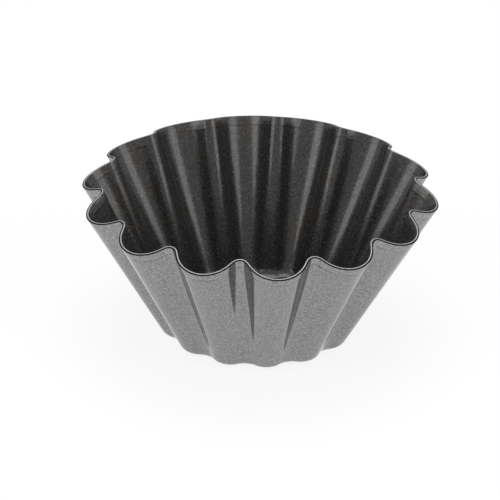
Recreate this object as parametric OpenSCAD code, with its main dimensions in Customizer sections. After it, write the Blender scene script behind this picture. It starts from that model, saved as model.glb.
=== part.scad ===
// Fluted brioche mould, pressed in one piece from thin coated sheet steel.
// Straight wall lines fan out from a shallow fluted outline at the base to a
// deep one at the rim. A round bend joins them to the flat base, and the cut
// edge of the sheet waves: it stands higher at each groove than at each crest.

/* [Overall] */
// Outside diameter over the crests of the flutes at the rim
rim_d = 80; // [70:1:100]
// Outside diameter over the crests where wall and base would meet without their bend
base_d = 43.8; // [36:0.2:56]
// Overall height, from the flat base to the rim at the grooves
height = 35; // [25:0.5:50]
// Rise of the rim from a crest to a groove
rim_wave = 2.2; // [0:0.1:4]
// Number of flutes round the wall
flutes = 14; // [8:1:20]
// Thickness of the coated sheet
sheet_t = 0.6; // [0.4:0.05:1]

/* [Flutes at the rim] */
// Depth from crest to groove at the rim
rim_flute_depth = 4.6; // [2:0.1:7]
// Radius of each crest at the rim, in the middle of the sheet
rim_crest_r = 6.8; // [4:0.1:9]
// Radius of each groove at the rim, in the middle of the sheet
rim_groove_r = 2; // [1:0.1:4]

/* [Flutes at the base] */
// Depth from crest to groove at the base
base_flute_depth = 1.3; // [0.4:0.1:3]
// Radius of each crest at the base, in the middle of the sheet
base_crest_r = 4.1; // [2:0.1:8]
// Radius of each groove at the base, in the middle of the sheet
base_groove_r = 5.2; // [2:0.1:8]

/* [Bend at the base] */
// Radius of the bend between base and wall, in the middle of the sheet
bend_r = 3; // [1.5:0.1:8]

/* [Smoothness] */
// Steps along half a crest
crest_steps = 5; // [3:1:6]
// Steps along half a groove
groove_steps = 3; // [2:1:4]
// Steps round the bend at the base
bend_steps = 4; // [3:1:6]
// Steps up the wall
wall_steps = 3; // [2:1:5]

/* [Hidden] */
steel_grey = [0.45, 0.45, 0.46];

half_t = sheet_t / 2;
half_pitch = 180 / flutes;

// Angles between the wall lines of a crest and of a groove and the vertical
crest_lean = atan((rim_d - base_d) / 2 / (height - rim_wave));
groove_lean = atan(((rim_d - base_d) / 2 - rim_flute_depth + base_flute_depth) / height);

// The outlines and heights below are those of the middle of the sheet
rim_crest = rim_d / 2 - half_t * cos(crest_lean);
rim_groove = rim_crest - rim_flute_depth;
base_crest = base_d / 2 - half_t * (1 - sin(crest_lean)) / cos(crest_lean);
base_groove = base_crest - base_flute_depth;
groove_top = height - half_t * sin(groove_lean);
crest_top = groove_top - rim_wave;

// Share of their largest radii that crest and groove keep where the pitch is
// tight, so that a straight flank always lies between them
flank_share = 0.98;

function unit(v) = v / norm(v);

function turned(p, angle) = [
    p.x * cos(angle) - p.y * sin(angle),
    p.x * sin(angle) + p.y * cos(angle)
];

// How far both radii must shrink for crest and groove to fit in half a pitch:
// the arcs touch where the distance of their centres is the sum of their radii
function radius_share(crest, groove, crest_r, groove_r) =
    let (
        gap = crest * crest + groove * groove - 2 * crest * groove * cos(half_pitch),
        pull = 2 * crest_r * (crest - groove * cos(half_pitch))
            + 2 * groove_r * (crest * cos(half_pitch) - groove),
        bow = 2 * crest_r * groove_r * (1 - cos(half_pitch)),
        touch = (sqrt(pull * pull + 4 * bow * gap) - pull) / (2 * bow)
    )
    min(1, flank_share * touch);

// Half a flute, from the crest on +X to the groove half a pitch on: an arc,
// a straight flank that is tangent to both arcs, and the groove's arc
function half_flute(crest, groove, crest_r, groove_r) =
    let (
        share = radius_share(crest, groove, crest_r, groove_r),
        outer_r = crest_r * share,
        inner_r = groove_r * share,
        outer_c = [crest - outer_r, 0],
        inner_c = turned([groove + inner_r, 0], half_pitch),
        between = inner_c - outer_c,
        flank = atan2(between.y, between.x) - acos((outer_r + inner_r) / norm(between))
    )
    concat(
        [for (i = [0:crest_steps]) outer_c + turned([outer_r, 0], flank * i / crest_steps)],
        [for (i = [0:groove_steps])
            inner_c - turned([inner_r, 0], flank + (half_pitch - flank) * i / groove_steps)]
    );

// The whole outline, flute after flute, each with its second half mirrored
function outline(crest, groove, crest_r, groove_r) =
    let (
        half = half_flute(crest, groove, crest_r, groove_r),
        last = len(half) - 1
    )
    [for (flute = [0:flutes - 1])
        each concat(
            [for (i = [0:last]) turned(half[i], 2 * half_pitch * flute)],
            [for (i = [last - 1:-1:1])
                turned([half[i].x, -half[i].y], 2 * half_pitch * (flute + 1))]
        )];

// Height of the rim at a point of its outline, which rises evenly inwards
function rim_height(p) =
    crest_top + rim_wave * (rim_crest - norm(p)) / rim_flute_depth;

// One line of the wall, from the edge of the flat base round the bend and up
// to the rim, as pairs of a point and the direction in which the line runs
function wall_line(foot, top) =
    let (
        out = unit([foot.x, foot.y, 0]),
        up = unit(top - foot),
        turn = acos(out * up),
        side = unit(up - out * (out * up)),
        reach = bend_r * tan(turn / 2),
        start = foot - out * reach,
        end = foot + up * reach
    )
    concat(
        [for (j = [0:bend_steps])
            let (a = turn * j / bend_steps)
            [
                start + bend_r * (out * sin(a) + side * (1 - cos(a))),
                out * cos(a) + side * sin(a)
            ]],
        [for (j = [1:wall_steps]) [end + (top - end) * j / wall_steps, up]]
    );

foot_outline = outline(base_crest, base_groove, base_crest_r, base_groove_r);
rim_outline = outline(rim_crest, rim_groove, rim_crest_r, rim_groove_r);
around = len(foot_outline);
rings = bend_steps + wall_steps + 1;

lines = [for (i = [0:around - 1])
    wall_line(
        [foot_outline[i].x, foot_outline[i].y, half_t],
        [rim_outline[i].x, rim_outline[i].y, rim_height(rim_outline[i])]
    )];

// A point of the middle surface moved square to it, out where offset is positive
function skin(i, j, offset) =
    let (
        before = lines[(i + around - 1) % around][j][0],
        after = lines[(i + 1) % around][j][0]
    )
    lines[i][j][0] + offset * unit(cross(after - before, lines[i][j][1]));

// Ring j of the outside, side 0, or of the inside, side 1
function ring_of(side, j) = [for (i = [0:around - 1]) skin(i, j, half_t - side * sheet_t)];

function corner(side, j, i) = (side * rings + j) * around + i % around;

// Two triangles that fill the patch with corners a, b, c and d, clockwise from outside
function patch(a, b, c, d) = [[a, b, c], [a, c, d]];

module fluted_wall() {
    points = [for (side = [0, 1], j = [0:rings - 1]) each ring_of(side, j)];
    faces = [for (i = [0:around - 1])
        each concat(
            [for (j = [0:rings - 2])
                each patch(corner(0, j, i), corner(0, j + 1, i),
                    corner(0, j + 1, i + 1), corner(0, j, i + 1))],
            [for (j = [0:rings - 2])
                each patch(corner(1, j, i), corner(1, j, i + 1),
                    corner(1, j + 1, i + 1), corner(1, j + 1, i))],
            patch(corner(0, rings - 1, i), corner(1, rings - 1, i),
                corner(1, rings - 1, i + 1), corner(0, rings - 1, i + 1)),
            patch(corner(0, 0, i), corner(0, 0, i + 1), corner(1, 0, i + 1), corner(1, 0, i))
        )];
    polyhedron(points, faces, convexity = 6);
}

module flat_base() {
    linear_extrude(sheet_t)
        polygon([for (p = ring_of(0, 0)) [p.x, p.y]]);
}

module mould_shell() {
    color(steel_grey)
        union() {
            fluted_wall();
            flat_base();
        }
}

mould_shell();
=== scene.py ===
# A fluted brioche mould in non-stick coated steel, on a pale floor in soft studio light.
import math

import bmesh
import bpy
from mathutils import Matrix, Vector


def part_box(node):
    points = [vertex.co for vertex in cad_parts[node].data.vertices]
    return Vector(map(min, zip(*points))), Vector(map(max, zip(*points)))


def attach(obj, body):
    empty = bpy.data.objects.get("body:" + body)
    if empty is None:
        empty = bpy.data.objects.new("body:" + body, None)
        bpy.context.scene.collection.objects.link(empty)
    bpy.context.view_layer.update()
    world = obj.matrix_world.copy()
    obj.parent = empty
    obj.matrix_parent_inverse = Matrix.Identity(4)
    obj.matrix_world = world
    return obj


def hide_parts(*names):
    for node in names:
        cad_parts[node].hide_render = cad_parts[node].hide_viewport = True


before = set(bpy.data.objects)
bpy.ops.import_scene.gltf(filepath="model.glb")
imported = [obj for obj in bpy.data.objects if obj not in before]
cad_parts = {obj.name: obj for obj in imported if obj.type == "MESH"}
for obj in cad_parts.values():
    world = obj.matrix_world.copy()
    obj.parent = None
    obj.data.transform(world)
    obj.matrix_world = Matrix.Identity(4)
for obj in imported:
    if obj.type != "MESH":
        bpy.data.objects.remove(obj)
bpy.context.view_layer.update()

# The mould shell is one pressing of 0.6 mm sheet steel. Straight wall lines fan
# out from a shallow fluted outline at the base to a deep one at the rim, a
# round bend joins them to the flat base, and the cut rim rises at each groove.
MM = 0.001
_, shell_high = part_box("mould_shell")
RIM_RADIUS = shell_high[0] / MM
HEIGHT = shell_high[2] / MM
BASE_RADIUS = 21.9
SHEET = 0.6
FLUTES = 14
RIM_WAVE = 2.2
RIM_FLUTE_DEPTH = 4.6
RIM_CREST_R = 6.8
RIM_GROOVE_R = 2.0
BASE_FLUTE_DEPTH = 1.3
BASE_CREST_R = 4.1
BASE_GROOVE_R = 5.2
BEND_R = 3.0
EDGE_ROUND = 0.12
WELD_DISTANCE = 0.004 * MM

# Steps along half a flute, out and up a wall line, and across the cut edge
CREST_STEPS = 16
FLANK_STEPS = 3
GROOVE_STEPS = 11
BASE_STEPS = 4
BEND_STEPS = 8
WALL_STEPS = 18
CORNER_STEPS = 3
EDGE_STEPS = 3

half_sheet = SHEET / 2
half_pitch = math.pi / FLUTES
crest_lean = math.atan((RIM_RADIUS - BASE_RADIUS) / (HEIGHT - RIM_WAVE))
groove_run = RIM_RADIUS - BASE_RADIUS - RIM_FLUTE_DEPTH + BASE_FLUTE_DEPTH
groove_lean = math.atan(groove_run / HEIGHT)
rim_crest = RIM_RADIUS - half_sheet * math.cos(crest_lean)
base_crest = BASE_RADIUS - half_sheet * (1 - math.sin(crest_lean)) / math.cos(crest_lean)
groove_top = HEIGHT - half_sheet * math.sin(groove_lean)
crest_top = groove_top - RIM_WAVE


def at_angle(radius, angle):
    return Vector((radius * math.cos(angle), radius * math.sin(angle), 0))


def half_flute(crest, depth, crest_r, groove_r):
    """Half a flute's outline: crest arc, flank tangent to both arcs, groove arc."""
    crest_centre = at_angle(crest - crest_r, 0)
    groove_centre = at_angle(crest - depth + groove_r, half_pitch)
    between = groove_centre - crest_centre
    # The arcs of the base outline nearly touch, so the ratio is kept within one
    closeness = min(1, (crest_r + groove_r) / between.length)
    flank = math.atan2(between.y, between.x) - math.acos(closeness)
    crest_arc = [
        crest_centre + at_angle(crest_r, flank * i / CREST_STEPS)
        for i in range(CREST_STEPS + 1)
    ]
    groove_arc = [
        groove_centre - at_angle(groove_r, flank + (half_pitch - flank) * i / GROOVE_STEPS)
        for i in range(GROOVE_STEPS + 1)
    ]
    straight = [
        crest_arc[-1].lerp(groove_arc[0], i / FLANK_STEPS) for i in range(1, FLANK_STEPS)
    ]
    return crest_arc + straight + groove_arc


def whole_flute(half):
    """The half mirrored to the other side of its crest, from groove to groove."""
    mirrored = [Vector((p.x, -p.y, 0)) for p in reversed(half[1:])]
    return mirrored + half


def wall_line(foot, top):
    """Points out over the base and up the wall, each with the line's direction there."""
    out = Vector((foot.x, foot.y, 0)).normalized()
    up = (top - foot).normalized()
    turn = out.angle(up)
    side = (up - out * out.dot(up)).normalized()
    reach = BEND_R * math.tan(turn / 2)
    start = foot - out * reach
    end = foot + up * reach
    line = []
    for i in range(1, BASE_STEPS):
        line.append((Vector((0, 0, start.z)).lerp(start, i / BASE_STEPS), out))
    for i in range(BEND_STEPS + 1):
        angle = turn * i / BEND_STEPS
        point = start + BEND_R * (out * math.sin(angle) + side * (1 - math.cos(angle)))
        line.append((point, out * math.cos(angle) + side * math.sin(angle)))
    last = top - up * EDGE_ROUND
    for i in range(1, WALL_STEPS + 1):
        line.append((end.lerp(last, i / WALL_STEPS), up))
    return line


def edge_profile():
    """The cut edge across the sheet: how far up and how far out, from outside to inside."""
    flat = half_sheet - EDGE_ROUND
    profile = []
    for i in range(1, CORNER_STEPS + 1):
        angle = math.pi / 2 * i / CORNER_STEPS
        profile.append((EDGE_ROUND * math.sin(angle), flat + EDGE_ROUND * math.cos(angle)))
    for i in range(1, EDGE_STEPS):
        profile.append((EDGE_ROUND, flat * (1 - 2 * i / EDGE_STEPS)))
    return profile + [(up, -out) for up, out in reversed(profile[:CORNER_STEPS])]


def flute_mesh():
    """One flute of the shell, both faces and the cut edge, as a mesh in metres."""
    foot_outline = whole_flute(
        half_flute(base_crest, BASE_FLUTE_DEPTH, BASE_CREST_R, BASE_GROOVE_R)
    )
    rim_outline = whole_flute(
        half_flute(rim_crest, RIM_FLUTE_DEPTH, RIM_CREST_R, RIM_GROOVE_R)
    )
    lines = []
    for foot, rim in zip(foot_outline, rim_outline):
        rise = RIM_WAVE * (rim_crest - rim.length) / RIM_FLUTE_DEPTH
        foot.z = half_sheet
        rim.z = crest_top + rise
        lines.append(wall_line(foot, rim))
    columns = len(lines)
    # The wall lines next to this flute, which give its two end lines their normals
    pitch_turn = Matrix.Rotation(2 * half_pitch, 3, "Z")
    before = [pitch_turn.inverted() @ point for point, _ in lines[-2]]
    after = [pitch_turn @ point for point, _ in lines[1]]

    work = bmesh.new()
    # 0 on the outside and 1 on the inside, the distance to the rim in mm, and
    # 1 on the cut edge: the coating reads these three
    side_layer = work.verts.layers.float.new("face_side")
    gap_layer = work.verts.layers.float.new("rim_gap")
    edge_layer = work.verts.layers.float.new("cut_edge")
    profile = edge_profile()
    grid = []
    for i, line in enumerate(lines):
        left = [point for point, _ in lines[i - 1]] if i else before
        right = [point for point, _ in lines[i + 1]] if i < columns - 1 else after
        outer, inner = [], []
        for j, (point, run) in enumerate(line):
            normal = (right[j] - left[j]).cross(run).normalized()
            gap = (line[-1][0] - point).length + EDGE_ROUND
            outer.append((point + normal * half_sheet, 0, gap, 0))
            inner.append((point - normal * half_sheet, 1, gap, 0))
        top, run = line[-1]
        edge = [
            (top + run * up + normal * out, 0.5 - out / SHEET, 0, 1) for up, out in profile
        ]
        column = []
        for place, side, gap, cut in outer + edge + inner[::-1]:
            vert = work.verts.new(place * MM)
            vert[side_layer] = side
            vert[gap_layer] = gap
            vert[edge_layer] = cut
            column.append(vert)
        grid.append(column)
    rows = len(grid[0])
    under_centre = work.verts.new((0, 0, 0))
    inside_centre = work.verts.new((0, 0, SHEET * MM))
    for vert, side in ((under_centre, 0), (inside_centre, 1)):
        vert[side_layer] = side
        vert[gap_layer] = HEIGHT
    for i in range(columns - 1):
        work.faces.new((under_centre, grid[i + 1][0], grid[i][0]))
        work.faces.new((inside_centre, grid[i][rows - 1], grid[i + 1][rows - 1]))
        for j in range(rows - 1):
            work.faces.new((grid[i][j], grid[i + 1][j], grid[i + 1][j + 1], grid[i][j + 1]))
    mesh = bpy.data.meshes.new("one_flute")
    work.to_mesh(mesh)
    work.free()
    return mesh


class Sock:
    """A node's socket that adds, multiplies and compares like a number."""

    def __init__(self, tree, socket):
        self.tree = tree
        self.socket = socket

    def node(self, kind, settings=None, output=0, **inputs):
        """A new node's output. Input n2 is the node's third, From_Min its From Min."""
        made = self.tree.nodes.new(kind)
        for name, value in (settings or {}).items():
            setattr(made, name, value)
        for name, value in inputs.items():
            numbered = name[0] == "n" and name[1:].isdigit()
            plug = made.inputs[int(name[1:]) if numbered else name.replace("_", " ")]
            if isinstance(value, Sock):
                self.tree.links.new(value.socket, plug)
            else:
                plug.default_value = value
        return Sock(self.tree, made.outputs[output])

    def math(self, operation, *others):
        values = {f"n{i}": value for i, value in enumerate((self, *others))}
        return self.node("ShaderNodeMath", {"operation": operation}, **values)

    def __add__(self, other):
        return self.math("ADD", other)

    def __mul__(self, other):
        return self.math("MULTIPLY", other)

    def __sub__(self, other):
        return self.math("SUBTRACT", other)

    def __rsub__(self, other):
        return self.node("ShaderNodeMath", {"operation": "SUBTRACT"}, n0=other, n1=self)

    def __truediv__(self, other):
        return self.math("DIVIDE", other)

    def __rtruediv__(self, other):
        return self.node("ShaderNodeMath", {"operation": "DIVIDE"}, n0=other, n1=self)

    __radd__ = __add__
    __rmul__ = __mul__

    def larger(self, other):
        return self.math("MAXIMUM", other)

    def step(self, low, high):
        """0 below low, 1 above high, smooth between."""
        settings = {"interpolation_type": "SMOOTHSTEP"}
        return self.node("ShaderNodeMapRange", settings, Value=self, From_Min=low, From_Max=high)

    def mix(self, first, second):
        """The first colour where this is 0, the second where it is 1."""
        settings = {"data_type": "RGBA"}
        return self.node("ShaderNodeMix", settings, 2, n0=self, n6=first, n7=second)


# Colours of the coating, and of the bare steel in the cut edge with its painted highlight and
# painted shade
PEWTER_DARK = (0.092, 0.092, 0.093, 1)
PEWTER_LIGHT = (0.39, 0.388, 0.384, 1)
CHARCOAL_BLUE = (0.020, 0.020, 0.024, 1)
CHARCOAL_BROWN = (0.026, 0.023, 0.019, 1)
CHARCOAL_LIGHT = (0.094, 0.093, 0.093, 1)
METAL_FLAKE = (0.5, 0.5, 0.5, 1)
EDGE_SHADE_PAINT = (0.008, 0.008, 0.009, 1)
EDGE_HIGHLIGHT_PAINT = (0.3, 0.3, 0.305, 1)

# Noise scales on the object, in waves per metre, and on the drawn coordinates
PATCH_SCALE = 90.0
FLECK_SCALE = 2100.0
GRAIN_SCALE = 5200.0
DRAWING_SCALE = 70.0
TINT_SCALE = 9.0

# Distances under the rim of the press line's painted shade and painted highlight, and how wide
# they fade, in mm
SHADE_LINE_GAP = 2.1
HIGHLIGHT_LINE_GAP = 1.5
LINE_FADE = 0.3


def coated_steel():
    """Non-stick coating with a fine metallic fleck, pewter outside and charcoal inside."""
    material = bpy.data.materials.new("nonstick_coating")
    material.use_nodes = True
    tree = material.node_tree
    shader = tree.nodes["Principled BSDF"]
    blank = Sock(tree, None)
    place = blank.node("ShaderNodeTexCoord", output="Object")
    inside = blank.node("ShaderNodeAttribute", {"attribute_name": "face_side"}, "Fac")
    gap = blank.node("ShaderNodeAttribute", {"attribute_name": "rim_gap"}, "Fac")
    cut = blank.node("ShaderNodeAttribute", {"attribute_name": "cut_edge"}, "Fac")
    lining = inside.step(0.45, 0.55)
    on_edge = cut.step(0.3, 0.7)

    # Coordinates that hardly change up a wall line, for the marks of drawing
    east = place.node("ShaderNodeSeparateXYZ", output="X", Vector=place)
    north = place.node("ShaderNodeSeparateXYZ", output="Y", Vector=place)
    radius = (east * east + north * north).math("SQRT").larger(1 * MM)
    drawn = place.node(
        "ShaderNodeCombineXYZ",
        X=east / radius,
        Y=north / radius,
        Z=gap * 0.004,
    )
    drawing = drawn.node("ShaderNodeTexNoise", Vector=drawn, Scale=DRAWING_SCALE, Detail=3.0)
    tint = drawn.node("ShaderNodeTexNoise", Vector=drawn, Scale=TINT_SCALE, Detail=2.0)
    patch = place.node("ShaderNodeTexNoise", Vector=place, Scale=PATCH_SCALE, Detail=2.0)
    fleck = place.node(
        "ShaderNodeTexNoise", Vector=place, Scale=FLECK_SCALE, Detail=2.0, Roughness=0.6
    )
    grain = place.node("ShaderNodeTexNoise", Vector=place, Scale=GRAIN_SCALE, Detail=2.0)
    shade = (patch - 0.5) * 0.12 + (drawing - 0.5) * 0.1 + (fleck - 0.5) * 1.5

    # A faint press line runs round both faces 2 mm under the rim: real relief in the bump, with
    # painted shade on its lower dark line and a painted highlight on the paler one above it
    painted_line_shade = 1 - (gap - SHADE_LINE_GAP).math("ABSOLUTE").step(0.0, LINE_FADE)
    painted_line_highlight = 1 - (gap - HIGHLIGHT_LINE_GAP).math("ABSOLUTE").step(0.0, LINE_FADE)
    press_relief_and_painted_shade = (painted_line_shade * 0.36 - painted_line_highlight * 0.14) * tint.step(0.35, 0.55)

    pewter = (shade - press_relief_and_painted_shade + 0.5).larger(0).mix(PEWTER_DARK, PEWTER_LIGHT)
    # Charcoal inside, a little browner in some places and bluer in others
    charcoal_dark = tint.step(0.4, 0.6).mix(CHARCOAL_BLUE, CHARCOAL_BROWN)
    charcoal_shade = (shade * 0.95 - press_relief_and_painted_shade * 0.5 + 0.28).larger(0)
    charcoal = charcoal_shade.mix(charcoal_dark, CHARCOAL_LIGHT)
    flake = fleck.step(0.62, 0.78) * (0.3 - lining * 0.2)
    coating = flake.mix(lining.mix(pewter, charcoal), METAL_FLAKE)
    # The sheared edge: a painted highlight towards the inside and dark painted shade towards the
    # outside
    edge_split = (grain - 0.5) * 0.12 + inside
    edge_light_and_shade = edge_split.step(0.52, 0.62).mix(EDGE_SHADE_PAINT, EDGE_HIGHLIGHT_PAINT)
    colour = on_edge.mix(coating, edge_light_and_shade)

    metal = 1 - lining * 0.5
    rough = 0.1 + lining * 0.16 + on_edge * 0.25 + (fleck - 0.5) * 0.15 + (patch - 0.5) * 0.06
    clear_coat = (1 - on_edge) * (1 - lining * 0.85)
    pimples = (fleck * 0.3 + grain * 0.15) * (lining * 6 + 2)
    relief = pimples + press_relief_and_painted_shade * 12.0 + drawing * 0.4
    bump = relief.node("ShaderNodeBump", Strength=0.25, Distance=0.02 * MM, Height=relief)

    tree.links.new(colour.socket, shader.inputs["Base Color"])
    tree.links.new(rough.socket, shader.inputs["Roughness"])
    tree.links.new(bump.socket, shader.inputs["Normal"])
    tree.links.new(metal.socket, shader.inputs["Metallic"])
    tree.links.new(clear_coat.socket, shader.inputs["Coat Weight"])
    shader.inputs["Coat Roughness"].default_value = 0.03
    shader.inputs["Specular Tint"].default_value = (0.55, 0.55, 0.55, 1)
    return material


def flute_ring_tree():
    """Sets one flute round the axis as often as the mould has flutes."""
    tree = bpy.data.node_groups.new("flute_ring", "GeometryNodeTree")
    face = tree.interface
    face.new_socket("Geometry", in_out="OUTPUT", socket_type="NodeSocketGeometry")
    face.new_socket("Flute", in_out="INPUT", socket_type="NodeSocketGeometry")
    face.new_socket("Flutes", in_out="INPUT", socket_type="NodeSocketInt")
    face.new_socket("Weld distance", in_out="INPUT", socket_type="NodeSocketFloat")
    face.new_socket("Coating", in_out="INPUT", socket_type="NodeSocketMaterial")
    given = tree.nodes.new("NodeGroupInput")
    one_flute = Sock(tree, given.outputs["Flute"])
    flutes = Sock(tree, given.outputs["Flutes"])
    distance = Sock(tree, given.outputs["Weld distance"])
    coating = Sock(tree, given.outputs["Coating"])
    axis = flutes.node("GeometryNodePoints", Count=flutes)
    turn = flutes.node("GeometryNodeInputIndex") * (2 * math.pi / flutes)
    spin = turn.node("ShaderNodeCombineXYZ", Z=turn)
    ring = axis.node(
        "GeometryNodeInstanceOnPoints", Points=axis, Instance=one_flute, Rotation=spin
    )
    real = ring.node("GeometryNodeRealizeInstances", Geometry=ring)
    welded = real.node("GeometryNodeMergeByDistance", Geometry=real, Distance=distance)
    smooth = welded.node("GeometryNodeSetShadeSmooth", Geometry=welded)
    coated = smooth.node("GeometryNodeSetMaterial", Geometry=smooth, Material=coating)
    result = tree.nodes.new("NodeGroupOutput")
    tree.links.new(coated.socket, result.inputs["Geometry"])
    return tree


flute = bpy.data.objects.new("one_flute", flute_mesh())
bpy.context.scene.collection.objects.link(flute)
ring_tree = flute_ring_tree()
modifier = flute.modifiers.new("flute_ring", "NODES")
modifier.node_group = ring_tree
sockets = {item.name: item.identifier for item in ring_tree.interface.items_tree}
modifier[sockets["Flutes"]] = FLUTES
modifier[sockets["Weld distance"]] = WELD_DISTANCE
modifier[sockets["Coating"]] = coated_steel()
bpy.context.view_layer.update()
ring_of_flutes = flute.evaluated_get(bpy.context.evaluated_depsgraph_get())
shell_mesh = bpy.data.meshes.new_from_object(ring_of_flutes)
shell_mesh.name = "coated_shell"
bpy.data.objects.remove(flute)
shell = bpy.data.objects.new("coated_shell", shell_mesh)
bpy.context.scene.collection.objects.link(shell)
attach(shell, "root")
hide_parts("mould_shell")

# The pale studio floor, which runs far past the view. The camera sees it partly
# lit by itself, so that it comes out white and still keeps the mould's shadow.
# It is clear from below, where it would hide the underside of the mould.
FLOOR_SIZE = 6
FLOOR_DROP = 0.02 * MM
FLOOR_WHITE = (0.9, 0.9, 0.9, 1)
GLOW_SEEN = 0.86
GLOW_MIRRORED = 0.7

bpy.ops.mesh.primitive_plane_add(size=FLOOR_SIZE, location=(0, 0, -FLOOR_DROP))
studio_floor = bpy.context.object
studio_floor.name = "studio_floor"
floor_paint = bpy.data.materials.new("white_floor")
floor_paint.use_nodes = True
floor_tree = floor_paint.node_tree
floor_shader = floor_tree.nodes["Principled BSDF"]
floor_shader.inputs["Base Color"].default_value = FLOOR_WHITE
floor_shader.inputs["Roughness"].default_value = 0.8
floor_shader.inputs["Specular IOR Level"].default_value = 0.1
lit = Sock(floor_tree, floor_shader.outputs[0])
glowing = lit.node("ShaderNodeEmission")
clear = lit.node("ShaderNodeBsdfTransparent")
seen = lit.node("ShaderNodeLightPath", output="Is Camera Ray")
mirrored = lit.node("ShaderNodeLightPath", output="Is Glossy Ray")
seen_through = lit.node("ShaderNodeLightPath", output="Is Transmission Ray")
glow_share = (seen * GLOW_SEEN).larger(mirrored.larger(seen_through) * GLOW_MIRRORED)
upper_face = lit.node("ShaderNodeMixShader", n0=glow_share, n1=lit, n2=glowing)
from_below = lit.node("ShaderNodeNewGeometry", output="Backfacing")
both_faces = lit.node("ShaderNodeMixShader", n0=from_below, n1=upper_face, n2=clear)
floor_tree.links.new(both_faces.socket, floor_tree.nodes["Material Output"].inputs["Surface"])
studio_floor.data.materials.append(floor_paint)

# White surroundings: at full strength where the camera or a reflection shows
# them, and softer where they only light the mould and the floor.
SKY_WHITE = (1, 1, 1, 1)
SKY_FILL = 0.55

world = bpy.data.worlds.new("white_studio")
bpy.context.scene.world = world
world.use_nodes = True
world_tree = world.node_tree
sky = world_tree.nodes["Background"]
sky.inputs["Color"].default_value = SKY_WHITE
blank_sky = Sock(world_tree, None)
sky_seen = blank_sky.node("ShaderNodeLightPath", output="Is Camera Ray")
sky_mirrored = blank_sky.node("ShaderNodeLightPath", output="Is Glossy Ray")
sky_through = blank_sky.node("ShaderNodeLightPath", output="Is Transmission Ray")
sky_shown = sky_seen.larger(sky_mirrored).larger(sky_through)
sky_strength = sky_shown * (1 - SKY_FILL) + SKY_FILL
world_tree.links.new(sky_strength.socket, sky.inputs["Strength"])

# The camera, as worked out from the photograph: its turn about the mould's axis,
# its angle above the floor, its roll and its distance from the mould, how far
# the view's centre lies beside the mould, and a focal length in pixels.
CAMERA_TURN = math.radians(173.573)
CAMERA_RISE = math.radians(28.515)
CAMERA_ROLL = math.radians(-0.905)
CAMERA_DISTANCE = 688.4 * MM
CAMERA_OFFSET = (1.914 * MM, -1.599 * MM)
VIEW_CENTRE = Vector((0, 0, 16.57 * MM))
FOCAL_PIXELS = 3052.3
IMAGE_PIXELS = 500
SENSOR = 36

sin_turn, cos_turn = math.sin(CAMERA_TURN), math.cos(CAMERA_TURN)
sin_rise, cos_rise = math.sin(CAMERA_RISE), math.cos(CAMERA_RISE)
level_right = Vector((cos_turn, -sin_turn, 0))
level_up = Vector((sin_turn * sin_rise, cos_turn * sin_rise, cos_rise))
forward = Vector((sin_turn * cos_rise, cos_turn * cos_rise, -sin_rise))
right = level_right * math.cos(CAMERA_ROLL) - level_up * math.sin(CAMERA_ROLL)
upward = level_right * math.sin(CAMERA_ROLL) + level_up * math.cos(CAMERA_ROLL)
camera_data = bpy.data.cameras.new("camera")
camera_data.sensor_width = SENSOR
camera_data.lens = FOCAL_PIXELS / IMAGE_PIXELS * SENSOR
camera = bpy.data.objects.new("camera", camera_data)
turned = Matrix((right, upward, -forward)).transposed().to_4x4()
offset = right * CAMERA_OFFSET[0] + upward * CAMERA_OFFSET[1] + forward * CAMERA_DISTANCE
camera.matrix_world = Matrix.Translation(VIEW_CENTRE - offset) @ turned
bpy.context.scene.collection.objects.link(camera)
bpy.context.scene.camera = camera

# Three square softboxes: one high over the mould and a little behind it, and one
# in front of it at either side. All of them face the middle of the mould.
LAMP_AIM = Vector((0, 0, 20 * MM))
toward_camera = Vector((-sin_turn, -cos_turn, 0))


def softbox(name, to_right, to_front, up, side, power):
    """A square studio lamp, placed in metres from the mould as the camera sees it."""
    lamp = bpy.data.lights.new(name, "AREA")
    lamp.shape = "SQUARE"
    lamp.size = side
    lamp.energy = power
    holder = bpy.data.objects.new(name, lamp)
    holder.location = level_right * to_right + toward_camera * to_front + Vector((0, 0, up))
    holder.rotation_euler = (LAMP_AIM - holder.location).to_track_quat("-Z", "Y").to_euler()
    bpy.context.scene.collection.objects.link(holder)


softbox("top_light", to_right=0, to_front=-0.2, up=0.9, side=0.6, power=4)
softbox("left_light", to_right=-0.64, to_front=0.34, up=0.35, side=0.5, power=2.3)
softbox("right_light", to_right=0.64, to_front=0.34, up=0.35, side=0.5, power=2.0)

bpy.context.scene.view_settings.view_transform = "Standard"
